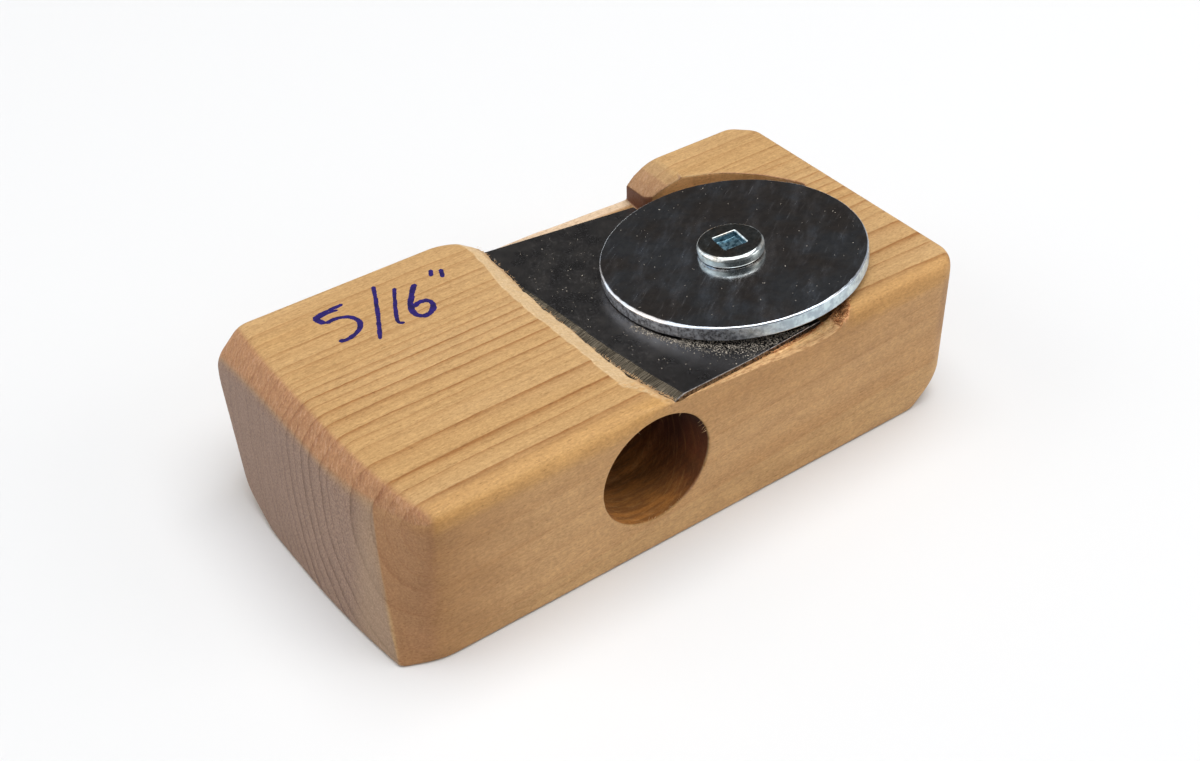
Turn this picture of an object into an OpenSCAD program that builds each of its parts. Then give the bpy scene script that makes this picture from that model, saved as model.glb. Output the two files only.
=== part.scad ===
// Dowel maker: a shaped wooden block with a cross bore, a steel blade bedded
// over the bore, and a broad washer and a pan head screw that clamp the blade.
// Millimetres. Origin at the centre of the block's underside, +Z up,
// +X along the block towards the screw, -Y the side where the blank goes in.

/* [Block] */
// Length of the block
block_l = 79.4; // [78:0.1:84]
// Width of the block, along the cross bore
block_w = 40.6; // [39.8:0.1:44]
// Height of the block
block_h = 20.1; // [19.9:0.1:21]
// Depth of the hand cut chamfer over the bore end of the block
end_chamfer = 2.8; // [1:0.1:3.5]
// Lean of that end face away from upright, in degrees
end_lean = 5; // [0:0.5:6]

/* [Cross bore] */
// Diameter of the entry bore, nine sixteenths of an inch
entry_d = 14.3; // [13:0.1:14.4]
// Depth of the entry bore from the near side
entry_depth = 28; // [24:0.5:30]
// Depth of the guiding first stretch of the entry bore
guide_depth = 8; // [6:0.5:9]
// How much narrower the bore is behind the guiding stretch
bore_relief = 0.5; // [0.3:0.1:0.8]
// Diameter of the exit bore, five sixteenths of an inch
exit_d = 7.94; // [6.3:0.02:8.2]
// Height of the bore axis over the underside
bore_z = 11.4; // [11:0.1:11.5]
// Position of the bore axis along the block
bore_x = -5.8; // [-6.2:0.1:-5.4]

/* [Blade] */
// Thickness of the blade
blade_t = 0.7; // [0.5:0.05:0.7]
// Length of the blade from its cutting edge to its heel
blade_l = 23.3; // [22:0.1:23.5]
// Width of the ground bevel
bevel_w = 1.9; // [1.2:0.1:2.4]
// Taper of each side of the blade towards its heel, in degrees
blade_taper = 5.6; // [4:0.1:7]
// Width of the open slot that passes the screw
slot_w = 5.6; // [5.2:0.1:6.5]

/* [Clamp] */
// Outside diameter of the washer, one and a quarter inches
washer_d = 31.75; // [30:0.05:31.8]
// Thickness of the washer
washer_t = 1.8; // [1.5:0.05:1.9]
// Hole in the washer
washer_bore = 5.2; // [5.1:0.1:5.6]
// Diameter of the screw shank over its thread
shank_d = 4.17; // [3.8:0.01:4.2]
// Length of the screw under its head
shank_l = 15.9; // [14:0.1:17]
// Diameter of the screw head
head_d = 8.1; // [7.8:0.1:8.6]
// Height of the screw head
head_h = 1.6; // [1.5:0.1:2.4]
// Width across the square drive recess
drive_w = 2.95; // [2.5:0.05:3.0]

/* [Hidden] */
$fn = 64;
// The bed under the blade falls to the far side and a little to the right
bed_p = [2.6, -3.5, 17.42];
bed_gap = 0.02;         // the blade lies this far over its bed
bed_r = [-4.69, 2.0, 0];
// The washer bridges the blade and the top of the block, so it sits at its own tilt
seat_p = [18.43, -3.51, 19.35];
seat_r = [-5.02, -4.29, 0];
edge_x = -4.0;          // cutting edge along the block, at rest
heel_x = 20.2;          // shoulder behind the heel of the blade
screw_p = [-0.37, -0.14];  // the screw stands a little off the middle of the washer
mouth_x = -4.5;         // wall of the recess in front of the cutting edge
recess_r = 18.5;        // radius of the round end of the recess
pitch = 1.69;           // pitch of the wood screw
clear_r = 0.05;         // running clearance round the screw, on the radius
hw = block_w / 2;
cut_d = entry_d - bore_relief;
hl = block_l / 2;

module in_bed() { translate(bed_p) rotate(bed_r) children(); }
module in_seat() { translate(seat_p) rotate(seat_r) children(); }

// Plan of the block, with its four corners cut off by hand
module block_plan() {
    polygon([
        [-hl - 1, -hw + 1.6], [-hl + 4.4, -hw], [hl - 2.1, -hw], [hl, -hw + 2.0],
        [hl, hw - 3.0], [hl - 2.6, hw], [-hl - 1, hw]
    ]);
}

// Everything beyond a slanting plane through p, on the side its normal d points to
module beyond(p, d) {
    translate(p) rotate([0, acos(d[2] / norm(d)), atan2(d[1], d[0])])
        translate([-15, -15, 0]) cube([30, 30, 20]);
}

// Side view of the block: leaning end face with its chamfer, eased right end
module block_side() {
    lean = tan(end_lean) * (block_h - end_chamfer);
    polygon([
        [-hl, 0], [hl - 1.8, 0], [hl, 2.4], [hl, block_h - 0.6], [hl - 0.6, block_h],
        [-hl + lean + end_chamfer + 0.3, block_h], [-hl + lean, block_h - end_chamfer], [-hl - 0.05, 0.6]
    ]);
}

// End view of the block: long edges just broken
module block_end() {
    polygon([
        [-hw, 0.4], [-hw + 0.4, 0], [hw - 0.4, 0], [hw, 0.4],
        [hw, block_h - 0.4], [hw - 0.4, block_h], [-hw + 0.3, block_h], [-hw, block_h - 0.3]
    ]);
}

module block_blank() {
    difference() {
        intersection() {
            linear_extrude(block_h) block_plan();
            translate([0, hw + 1, 0]) rotate([90, 0, 0]) linear_extrude(block_w + 2) block_side();
            translate([-hl - 2, 0, 0]) rotate([90, 0, 90]) linear_extrude(block_l + 4) block_end();
        }
        // corners of the leaning end, sanded off at a slant: wide at the top on the near side,
        // wide at the bottom on the far side
        beyond([-hl + 2.7, -13.25, 17.44], [-0.961, -0.234, 0.145]);
        beyond([-hl + 1.6, 20.0, 12.6], [-0.50, 0.79, -0.36]);
        beyond([-hl + 0.5, 15.4, 2.9], [-0.35, 0.40, -0.85]);
    }
}

// Plan of the recess: a straight cut right across, and a round end at the
// screw that stops at a slanting shoulder on the near side
module recess_plan() {
    translate([mouth_x, -hw - 2]) square([heel_x - mouth_x, 2 * hw + 4]);
    intersection() {
        translate([seat_p[0], seat_p[1]]) circle(r = recess_r);
        polygon([[0, -hw - 1], [heel_x, -hw - 1], [35.4, 3.2], [40, 20], [0, 17.2]]);
    }
}

module recess() {
    intersection() {
        translate([0, 0, 5]) linear_extrude(30) recess_plan();
        in_bed() translate([-40, -40, 0]) cube([80, 80, 30]);
    }
    // sloping cut on the far side, down towards the bed
    translate([19.6, 13.9, 16.9]) rotate([0, -32, 0]) cube([14, 12, 12]);
    // shallow chamfer in front of the cutting edge, where the shavings come out
    intersection() {
        union() {
            translate([-6.8, -8, block_h]) rotate([0, 27, 0]) cube([10, 36, 5]);
            translate([-6.8, -8, block_h]) rotate([0, 0, 14]) rotate([0, 27, 0]) translate([0, -20, 0]) cube([10, 20.01, 5]);
        }
        translate([-12, -30, 15]) cube([12 + mouth_x + 0.01, 60, 10]);
    }
    // worn near edge of the screw end
    translate([21.5, -hw, block_h - 1]) rotate([45, 0, 0]) cube([30, 3, 3]);
}

// Throat that leads from the bore up to the cutting edge
module throat() {
    translate([0, entry_depth - hw - 0.2, 0]) rotate([90, 0, 0])
        linear_extrude(entry_depth - 8.2) polygon([
            [mouth_x, 19.2], [mouth_x - 1.5, 16.6], [mouth_x - 1.9, 13], [edge_x + 0.8, 13],
            [edge_x + 0.8, 17.9], [edge_x + 0.3, 19.2]
        ]);
}

module block() {
    color("#c8924f")
    difference() {
        block_blank();
        recess();
        throat();
        // entry bore: the guiding stretch, the cutting stretch, and the cone that a drill leaves at its end
        translate([bore_x, -hw - 1, bore_z]) rotate([-90, 0, 0]) cylinder(d = entry_d, h = guide_depth + 1);
        translate([bore_x, -hw - 1, bore_z]) rotate([-90, 0, 0]) cylinder(d = cut_d, h = entry_depth + 1);
        translate([bore_x, -hw + entry_depth - 0.01, bore_z]) rotate([-90, 0, 0])
            cylinder(d1 = cut_d, d2 = exit_d - 0.4, h = (cut_d - exit_d) / 2 * tan(31));
        // exit bore
        translate([bore_x, 0, bore_z]) rotate([-90, 0, 0]) cylinder(d = exit_d, h = hw + 2);
        // pilot hole for the screw
        in_seat() translate([screw_p[0], screw_p[1], -shank_l + washer_t - 0.6]) cylinder(r = shank_d / 2 + clear_r, h = shank_l);
    }
}

// Tapered steel plate with one bevel, ground from above, and an open slot at its heel
module blade() {
    u0 = edge_x - bed_p[0];
    v0 = -20.1 - bed_p[1];
    v1 = 20.0 - bed_p[1];
    dv = blade_l * tan(blade_taper);
    sv = -3.82 - bed_p[1];
    su = 16.7 - bed_p[0];
    color("#2c2c2f")
    in_bed() translate([0, 0, bed_gap]) difference() {
        linear_extrude(blade_t) difference() {
            polygon([[u0, v0], [u0 + blade_l, v0 + dv], [u0 + blade_l, v1 - dv * 1.2], [u0, v1]]);
            translate([su, sv]) circle(d = slot_w);
            translate([su, sv - slot_w / 2]) square([20, slot_w]);
        }
        // bevel: full thickness at its back line, nearly nothing at the cutting edge
        translate([u0 + bevel_w, -30, blade_t]) rotate([0, -atan((blade_t - 0.04) / bevel_w), 0])
            translate([-6, 0, 0]) cube([6, 70, 3]);
    }
}

// Plated washer with the rolled upper edge that stamping leaves
module washer() {
    r = washer_d / 2;
    color("#9aa0a6")
    in_seat() rotate_extrude($fn = 96) polygon([
        [washer_bore / 2, 0], [r - 0.1, 0], [r, 0.12], [r, washer_t - 0.42], [r - 0.12, washer_t - 0.16],
        [r - 0.38, washer_t], [washer_bore / 2 + 0.1, washer_t], [washer_bore / 2, washer_t - 0.1]
    ]);
}

// One turn of thread on the shank is a pair of cones, a pitch long
function thread(n) = [for (i = [0 : n - 1]) each [
    [shank_d / 2 - 0.62, -i * pitch - 2.2], [shank_d / 2, -i * pitch - 2.2 - pitch * 0.42],
    [shank_d / 2, -i * pitch - 2.2 - pitch * 0.58]
]];

// Low pan head wood screw with a square drive recess
module screw() {
    n = 7;
    zt = -2.2 - n * pitch;
    hr = head_d / 2;
    color("#b4bac0")
    in_seat() translate([screw_p[0], screw_p[1], washer_t]) difference() {
        rotate_extrude() polygon(concat(
            [[0, head_h], [hr * 0.62, head_h - 0.06], [hr * 0.84, head_h - 0.20],
             [hr * 0.95, head_h - 0.45], [hr, head_h - 0.85], [hr, 0.28],
             [hr - 0.22, 0.03], [shank_d / 2 - 0.1, 0.03], [shank_d / 2 - 0.62, -0.5]],
            thread(n),
            [[shank_d / 2 - 0.62, zt], [0.25, -shank_l + 0.2], [0, -shank_l]]
        ));
        translate([0, 0, head_h - 1.9]) rotate([0, 0, -10])
            linear_extrude(3) square(drive_w, center = true);
    }
}

block();
blade();
washer();
screw();
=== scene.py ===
# Dowel maker: looks for the block, the blade, the washer and the screw.
# All shapes are worked out in millimetres in the part's own frame and written in metres.
import math

import bpy
import bmesh
import numpy as np
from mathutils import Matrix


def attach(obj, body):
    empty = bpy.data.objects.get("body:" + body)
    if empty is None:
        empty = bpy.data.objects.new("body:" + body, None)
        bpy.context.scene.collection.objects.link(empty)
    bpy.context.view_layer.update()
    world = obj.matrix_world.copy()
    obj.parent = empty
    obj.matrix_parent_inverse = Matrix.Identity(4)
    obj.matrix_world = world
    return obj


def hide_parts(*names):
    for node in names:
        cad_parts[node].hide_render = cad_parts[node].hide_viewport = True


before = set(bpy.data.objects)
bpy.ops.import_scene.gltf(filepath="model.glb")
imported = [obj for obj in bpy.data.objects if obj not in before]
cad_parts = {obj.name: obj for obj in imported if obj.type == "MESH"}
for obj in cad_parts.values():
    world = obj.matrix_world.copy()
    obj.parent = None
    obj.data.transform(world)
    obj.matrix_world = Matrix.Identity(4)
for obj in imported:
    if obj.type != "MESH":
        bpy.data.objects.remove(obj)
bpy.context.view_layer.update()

import openvdb
from mathutils import Matrix, Vector

MM = 0.001
rng = np.random.default_rng(7)

# ---------------------------------------------------------------- camera

CAM_C = (-88.187, -126.05, 132.282)
CAM_R = ((0.8078, -0.58922, -0.01678), (-0.38095, -0.50012, -0.77766), (0.44982, 0.63459, -0.62846))


def make_camera():
    cam = bpy.data.cameras.new("camera")
    ob = bpy.data.objects.new("camera", cam)
    bpy.context.scene.collection.objects.link(ob)
    r, d, f = (Vector(v).normalized() for v in CAM_R)
    m = Matrix.Identity(4)
    for i in range(3):
        m[i][0], m[i][1], m[i][2], m[i][3] = r[i], -d[i], -f[i], CAM_C[i] * MM
    ob.matrix_world = m
    cam.sensor_fit = "HORIZONTAL"
    cam.sensor_width = 36.0
    cam.lens = 1664.007 * 36.0 / 1200.0
    cam.clip_start, cam.clip_end = 0.005, 5.0
    cam.dof.use_dof = False
    bpy.context.scene.camera = ob
    return ob


make_camera()

# ---------------------------------------------------------------- small tools


def smoothstep(x, a, b):
    t = np.clip((x - a) / (b - a), 0, 1)
    return t * t * (3 - 2 * t)


def hash3(ix, iy, iz, seed):
    n = (ix.astype(np.int64) * 374761393 + iy.astype(np.int64) * 668265263 + iz.astype(np.int64) * 2147483647 + seed * 1274126177) & 0xFFFFFFFF
    n = ((n ^ (n >> 13)) * 1103515245) & 0xFFFFFFFF
    n = ((n ^ (n >> 16)) * 2246822519) & 0xFFFFFFFF
    return ((n ^ (n >> 15)) & 0xFFFFFF) / float(0xFFFFFF)


def noise3(x, y, z, seed=0):
    """Smooth value noise from -1 to 1."""
    x, y, z = np.broadcast_arrays(x, y, z)
    ix, iy, iz = np.floor(x), np.floor(y), np.floor(z)
    fx, fy, fz = x - ix, y - iy, z - iz
    fx, fy, fz = (t * t * (3 - 2 * t) for t in (fx, fy, fz))
    out = 0
    for dx in (0, 1):
        for dy in (0, 1):
            for dz in (0, 1):
                w = (fx if dx else 1 - fx) * (fy if dy else 1 - fy) * (fz if dz else 1 - fz)
                out = out + w * hash3(ix + dx, iy + dy, iz + dz, seed)
    return out * 2 - 1


def smin(a, b, k):
    h = np.maximum(k - np.abs(a - b), 0) / k
    return np.minimum(a, b) - h * h * k * 0.25


def smax(a, b, k):
    h = np.maximum(k - np.abs(a - b), 0) / k
    return np.maximum(a, b) + h * h * k * 0.25


def poly_sdf(px, py, pts):
    """Signed distance to a closed polygon, negative inside."""
    best = np.full(np.broadcast(px, py).shape, 1e9)
    inside = np.zeros(best.shape, bool)
    n = len(pts)
    for i in range(n):
        ax, ay = pts[i]
        bx, by = pts[(i + 1) % n]
        ex, ey = bx - ax, by - ay
        wx, wy = px - ax, py - ay
        t = np.clip((wx * ex + wy * ey) / (ex * ex + ey * ey), 0, 1)
        best = np.minimum(best, (wx - ex * t) ** 2 + (wy - ey * t) ** 2)
        if ay != by:
            cross = ((ay <= py) != (by <= py)) & (px < ex * (py - ay) / ey + ax)
            inside ^= cross
    d = np.sqrt(best)
    return np.where(inside, -d, d)


def steps(*runs):
    """Grid lines from (start, end, step) runs."""
    out = []
    for a, b, s in runs:
        n = max(1, int(round((b - a) / s)))
        out.extend(a + (b - a) * i / n for i in range(n))
    out.append(runs[-1][1])
    return np.array(out)


def mesh_object(name, verts, faces, smooth=True):
    me = bpy.data.meshes.new(name)
    me.from_pydata([tuple(v) for v in np.asarray(verts) * MM], [], [tuple(f) for f in faces])
    me.validate()
    if smooth:
        me.shade_smooth()
    ob = bpy.data.objects.new(name, me)
    bpy.context.scene.collection.objects.link(ob)
    return ob


def vdb_mesh(sdf, xs, ys, zs, newton=3):
    """Surface of a signed distance function on uneven grid lines, as points and quads."""
    vol = np.empty((len(xs), len(ys), len(zs)), np.float32)
    for i in range(0, len(xs), 16):
        vol[i:i + 16] = sdf(xs[i:i + 16, None, None], ys[None, :, None], zs[None, None, :])
    vol = np.clip(vol, -1.5, 1.5)
    g = openvdb.FloatGrid(1.5)
    g.copyFromArray(vol)
    pts, tris, quads = g.convertToPolygons(0.0, 0.0)
    pts = np.asarray(pts, float)
    p = np.stack([np.interp(pts[:, k], np.arange(len(a)), a) for k, a in enumerate((xs, ys, zs))], 1)
    e = 0.01
    for _ in range(newton):
        f = sdf(p[:, 0], p[:, 1], p[:, 2])
        gr = np.stack([(sdf(p[:, 0] + e * (k == 0), p[:, 1] + e * (k == 1), p[:, 2] + e * (k == 2)) - sdf(p[:, 0] - e * (k == 0), p[:, 1] - e * (k == 1), p[:, 2] - e * (k == 2))) / (2 * e) for k in range(3)], 1)
        n2 = np.maximum((gr ** 2).sum(1), 0.2)
        step = -(f / n2)[:, None] * gr
        ln = np.linalg.norm(step, axis=1, keepdims=True)
        p = p + step * np.minimum(1, 0.12 / np.maximum(ln, 1e-9))
    faces = [tuple(q) for q in quads] + [tuple(t) for t in tris]
    # make the faces look outwards
    q = np.asarray(quads)
    a, b, c, d = (p[q[:, i]] for i in range(4))
    volume = (np.cross(b - a, c - a) * a).sum() + (np.cross(c - a, d - a) * a).sum()
    if volume < 0:
        faces = [f[::-1] for f in faces]
    return p, faces


# ---------------------------------------------------------------- measured lines, in millimetres

STRIP_Y = np.array([-20.3, -18.9, -17.6, -16.5, -15.0, -13.2, -11.4, -8.7, -3.6, 0.2, 2.3, 4.1, 6.2, 8.2, 10.3, 12.6, 15.2, 17.0, 20.3])
STRIP_X = np.array([-4.55, -4.75, -5.1, -6.05, -6.75, -6.5, -6.7, -6.5, -6.7, -6.8, -6.9, -6.8, -6.8, -6.8, -6.4, -5.8, -5.7, -5.65, -5.9])
LIP_Y = np.array([-20.3, -19.8, -17.2, -14.5, -10.8, -4.0, 1.0, 6.0, 8.4, 10.7, 15.2, 18.8, 20.3])
LIP_X = np.array([-3.3, -3.36, -3.80, -3.87, -4.25, -4.2, -4.2, -4.3, -4.1, -3.75, -3.8, -3.8, -4.1])
LIP_Z = np.array([19.87, 19.84, 19.61, 19.24, 19.07, 18.86, 18.78, 18.85, 18.76, 18.83, 19.15, 19.10, 19.20])


def near_edge_y(x):
    """Near side of the blade."""
    return -20.1 + (x + 3.95) * 0.098


def far_edge_y(x):
    return 20.08 - (x + 3.95) * 0.113


def blade_top(x, y):
    lift = 0.5 * np.clip((8 - x) / 11, 0, 1) * np.clip((-y - 6) / 14, 0, 1) ** 1.5
    return 18.14 - 0.035 * (x - 2.6) - 0.082 * (y + 3.5) + lift


def bed(x, y):
    base = blade_top(x, y) - 0.76
    yn = near_edge_y(x) - 0.15
    t = np.clip((yn - y) / np.minimum(np.maximum(yn + 20.3, 0.1), 0.22), 0, 1)
    zn = np.interp(x, [-4.1, -1.1, 2.6, 6.6, 11.1, 14.1, 17.2, 18.7, 20.1, 20.9], [20.02, 19.78, 19.42, 19.1, 18.7, 18.42, 18.3, 18.5, 18.9, 19.2])
    out = base * (1 - t) + zn * t
    yf = far_edge_y(x) + 0.15
    t = np.clip((y - yf) / np.maximum(20.3 - yf, 0.12), 0, 1)
    zf = np.interp(x, [-1.1, 1.6, 6.1, 10.7, 15.4, 18.5], [16.5, 16.3, 16.1, 15.82, 15.65, 15.5])
    return out * (1 - t) + np.maximum(zf, base) * t


ARC = [(18.43 + 18.5 * math.cos(a), -3.51 + 18.5 * math.sin(a)) for a in np.linspace(math.radians(22), math.radians(72), 22)]
RECESS = [(-12, -24), (20.6, -24), (21.1, -20.3), (23.2, -18.3), (24.6, -15.6), (25.8, -12.4), (35.0, 2.6)] + ARC + [(22.4, 14.6), (20.7, 15.1), (20.15, 16.2), (20.1, 24), (-12, 24)]
SEAT_P = np.array([18.43, -3.51, 19.35])
SEAT_N = np.array([-0.07451775, 0.08750347, 0.99337317])
SEAT_X = np.array([0.99719830, 0.0, 0.07480469])
SEAT_Y = np.cross(SEAT_N, SEAT_X)
SCREW_O = SEAT_P - 0.37 * SEAT_X - 0.14 * SEAT_Y


def torn_floor(x, y, plan):
    """Crumbly slope of torn wood at the near right end of the recess."""
    ramp = 20.2 + 1.15 * plan - 1.5 * np.maximum(y + 16.3, 0) - 4.0 * np.maximum(20.4 - x, 0)
    ramp = ramp + 0.16 * noise3(x * 1.7, y * 1.7, 0 * x, 71) + 0.12 * noise3(x * 4.0, y * 4.0, 0 * x, 72)
    return np.maximum(bed(x, y), ramp)


def bore_r(y):
    return np.interp(y, [-12.35, -12.25, 7.7, 9.46, 30], [7.15, 6.9, 6.9, 3.97, 3.97])


def block_sdf(x, y, z):
    # outer faces
    d = smax(z - 20.1, -z, 0.1)
    left = (-39.62 + 0.114 * z + 0.0042 * np.maximum(-y - 1, 0) ** 2 - x) * 0.993
    cham = ((-x - 35.1 + 0.0035 * np.maximum(-y, 0) ** 2 + 0.004 * np.maximum(y - 8, 0) ** 2) + (z - 20.1)) * 0.7071
    # the near-left corner is cut off with a twist: wide at the top, narrow at the bottom
    side = -(y + 20.3)
    ya = np.interp(z, [0, 1.5, 5.1, 8.4, 11.6, 15.0, 17.4, 20.1], [-18.7, -18.15, -16.8, -15.8, -14.8, -13.95, -13.25, -12.6])
    xa = -39.62 + 0.114 * z + 0.0042 * np.maximum(-ya - 1, 0) ** 2
    xb = np.interp(z, [0, 20.1], [-34.5, -35.4])
    dx, dy = xb - xa, -20.3 - ya
    ln = np.hypot(dx, dy)
    corner = ((x - xa) * dy - (y - ya) * dx) / ln
    left = smax(left, corner, 0.4)
    side = smax(side, corner, 1.0 + 1.8 * smoothstep(z, 1.0, 9.0))
    d = smax(d, left, 0.6)
    d = smax(d, cham, 0.8)
    edge = ((z - 20.1) - (y + 19.35 + np.maximum(21.0 - x, 0) * 1.5)) * 0.7071
    d = smax(d, edge, 0.6)
    d = smax(d, side, 0.4 + 1.6 * smoothstep(z, 10, 18) * np.maximum(smoothstep(-x, 5.5, 9.0), 0.3 * smoothstep(x, 18, 24)))
    far = (y + 0.0044 * (x + 39.7) - 20.3)
    d = smax(d, far, 0.8)
    n = np.array([-0.50, 0.79, -0.36]); n /= np.linalg.norm(n)
    d = smax(d, n[0] * (x + 38.1) + n[1] * (y - 20.0) + n[2] * (z - 12.6), 1.6)
    n = np.array([-0.35, 0.40, -0.85]); n /= np.linalg.norm(n)
    d = smax(d, n[0] * (x + 39.2) + n[1] * (y - 15.4) + n[2] * (z - 2.9), 1.2)
    d = smax(d, x - 39.5, 0.6)
    d = smax(d, ((x - 37.6) - (y + 20.3)) * 0.7071, 1.5)
    d = smax(d, ((x - 37.4) + (y - 19.95)) * 0.7071, 1.3)
    n = np.array([0.62, -0.34, -0.70]); n /= np.linalg.norm(n)
    d = smax(d, n[0] * (x - 35.6) + n[1] * (y + 20.3) + n[2] * (z - 1.4), 0.8)
    d = smax(d, (x - 38.7 - z) * 0.7071, 0.8)
    # sloping strip in front of the mouth, cut by hand
    wav = 0.16 * noise3(y * 0.55, 0 * y, 0 * y, 3) + 0.07 * noise3(y * 1.9, x * 0.4, 0 * y, 4) + 0.04 * noise3(y * 3.4, x * 1.6, 0 * y, 10)
    xs = np.interp(y, STRIP_Y, STRIP_X) + 0.12 * noise3(y * 1.7, 0 * y, 0 * y, 9)
    lipx = np.interp(y, LIP_Y, LIP_X) + 0.05 * noise3(y * 1.3, 0 * y, 0 * y, 5)
    zl = np.interp(y, LIP_Y, LIP_Z)
    slope = (20.1 - zl) / np.maximum(lipx - xs, 0.3)
    strip = (z - (20.1 - (x - xs) * slope) + wav * smoothstep(x, -6.8, -5)) * 0.894
    d = smax(d, np.minimum(strip, lipx + 0.08 - x), 0.12)
    endr = np.minimum((x + 3.9) * 0.62 + (y - 19.3) * 0.78, np.minimum(lipx + 0.4 - x, (z - 16.4) * 0.8))
    d = smax(d, endr, 1.7)
    n = np.array([0.42, 0.60, 0.68]); n /= np.linalg.norm(n)
    d = smax(d, np.minimum(n[0] * (x + 6.4) + n[1] * (y - 20.3) + n[2] * (z - 20.1) + 0.5, -3.4 - x), 1.2)
    # recess for the blade and the washer
    back = np.interp(zl - z, [0, 0.34, 3.2], [0, 0.64, 2.4]) * (1 + 0.4 * smoothstep(-y, 9, 16))
    wall = (lipx - back) - x
    plan = poly_sdf(x, y, RECESS)
    plan = plan + 0.10 * noise3(x * 0.8, y * 0.8, z * 0.5, 6) * smoothstep(x, 20, 24)
    cut = smax(smax(plan, torn_floor(x, y, plan) - z, 0.12), wall, 0.1)
    # sloping shoulder on the far side
    zf = np.interp(x, [19.4, 20.2, 21.3, 22.6, 23.9, 25.2, 27], [16.8, 17.5, 18.5, 19.25, 19.75, 20.15, 20.6])
    yb = np.interp(x, [19, 22, 24.1, 25.2, 27], [14.2, 14.0, 13.9, 16.0, 19.0])
    shoulder = np.maximum(np.maximum((zf - z) * 0.8, (yb - y) * 0.8), 19.5 - x)
    cut = np.minimum(cut, shoulder)
    d = smax(d, -cut, 0.16)
    # throat from the bore up to the edge
    tx = lipx - 0.62 * np.clip(zl - z, 0, 3.0)
    throat = np.maximum(np.maximum(tx - x, x + 3.1), np.maximum(12 - z, np.maximum(z - 18.9, np.abs(y + 2.3) - 9.8)))
    d = smax(d, -throat, 0.12)
    # stepped bore, with the marks of the drill
    ang = np.arctan2(z - 11.4, x + 5.8)
    rad = np.hypot(x + 5.8, z - 11.4)
    r = bore_r(y)
    marks = 0.016 * np.sin(ang * 1.0 + y * 2.1 + 1.3 * noise3(y * 0.35, ang, 0 * y, 8)) * smoothstep(y, -19.6, -17.5)
    bore = (rad - r - marks) * np.where((y > 7.7) & (y < 9.5), 0.52, 1.0)
    d = smax(d, -bore, 0.26)
    # pilot hole
    px, py, pz = x - SCREW_O[0], y - SCREW_O[1], z - SCREW_O[2]
    h = px * SEAT_N[0] + py * SEAT_N[1] + pz * SEAT_N[2]
    u = px * SEAT_X[0] + py * SEAT_X[1] + pz * SEAT_X[2]
    v = px * SEAT_Y[0] + py * SEAT_Y[1] + pz * SEAT_Y[2]
    pilot = np.maximum(np.hypot(u, v) - 2.14, -(h + 14.5))
    return np.maximum(d, -pilot)


def make_block():
    k = 1.0
    xs = steps((-40.3, -33, 0.36 * k), (-33, -14, 1.0 * k), (-14, -7.5, 0.36 * k), (-7.5, -2.5, 0.15 * k), (-2.5, 3, 0.28 * k), (3, 19, 0.5 * k), (19, 36, 0.3 * k), (36, 40.1, 0.32 * k))
    ys = steps((-20.9, -18.3, 0.15 * k), (-18.3, -12, 0.32 * k), (-12, 8, 0.42 * k), (8, 17, 0.32 * k), (17, 19.4, 0.3 * k), (19.4, 20.7, 0.13 * k))
    zs = steps((-0.6, 1.6, 0.24 * k), (1.6, 15, 0.5 * k), (15, 18.2, 0.22 * k), (18.2, 20.7, 0.145 * k))
    p, faces = vdb_mesh(block_sdf, xs, ys, zs)
    p[:, 2] = np.where(p[:, 2] < 0.004, 0.0, p[:, 2])
    ob = mesh_object("block_wood", p, faces)
    bm = bmesh.new()
    bm.from_mesh(ob.data)
    flat = [f for f in bm.faces if all(v.co.z < 1e-7 for v in f.verts)]
    if flat:
        bmesh.ops.dissolve_faces(bm, faces=flat)
    bm.to_mesh(ob.data)
    bm.free()
    ob.data.shade_smooth()
    return ob


# ---------------------------------------------------------------- blade

EDGE_X, HEEL_X, BLADE_T = -3.98, 19.3, 0.7


def blade_place(u, v, w):
    """From the flat plate, v from 0 to 40 across it, to its place on the bed."""
    yn, yf = near_edge_y(u), far_edge_y(u)
    y = yn + (yf - yn) * v / 40.0
    return u, y, blade_top(u, y) + w


def blade_sdf(u, v, w):
    yn, yf = near_edge_y(u), far_edge_y(u)
    y = yn + (yf - yn) * v / 40.0
    nick = 0.05 * noise3(v * 1.1, 0 * v, 0 * v, 21) + 0.025 * noise3(v * 4.0, 0 * v, 0 * v, 22)
    d = smax(w, -w - BLADE_T, 0.05)
    d = smax(d, np.maximum(-v, v - 40), 0.08)
    d = smax(d, np.maximum(EDGE_X + nick - u, u - HEEL_X), 0.05)
    back = np.interp(v, [0, 4, 12, 24, 40], [-2.0, -2.2, -2.5, -2.62, -2.75]) + 0.05 * noise3(v * 0.5, 0 * v, 0 * v, 23)
    d = smax(d, (w - (u - back) * 0.35) * 0.944, 0.04)
    slot = np.where(u < 16.7, np.hypot(u - 16.7, y + 3.82), np.abs(y + 3.82)) - 2.8
    return smax(d, -slot, 0.1)


def make_blade():
    k = 1.0
    us = steps((-4.3, -1.7, 0.09 * k), (-1.7, 13.2, 0.45 * k), (13.2, 19.0, 0.2 * k), (19.0, 19.5, 0.08 * k))
    vs = steps((-0.25, 0.45, 0.08 * k), (0.45, 13.0, 0.33 * k), (13.0, 20.0, 0.2 * k), (20.0, 39.5, 0.4 * k), (39.5, 40.25, 0.1 * k))
    ws = steps((-0.8, -0.55, 0.06), (-0.55, -0.15, 0.09), (-0.15, 0.12, 0.05))
    p, faces = vdb_mesh(blade_sdf, us, vs, ws)
    x, y, z = blade_place(p[:, 0], p[:, 1], p[:, 2])
    ob = mesh_object("blade_plate", np.stack([x, y, z], 1), faces)
    return ob


# ---------------------------------------------------------------- washer and screw


def seat(a, b, h):
    a, b, h = np.broadcast_arrays(a, b, h)
    return SEAT_P + a[..., None] * SEAT_X + b[..., None] * SEAT_Y + h[..., None] * SEAT_N


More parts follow.
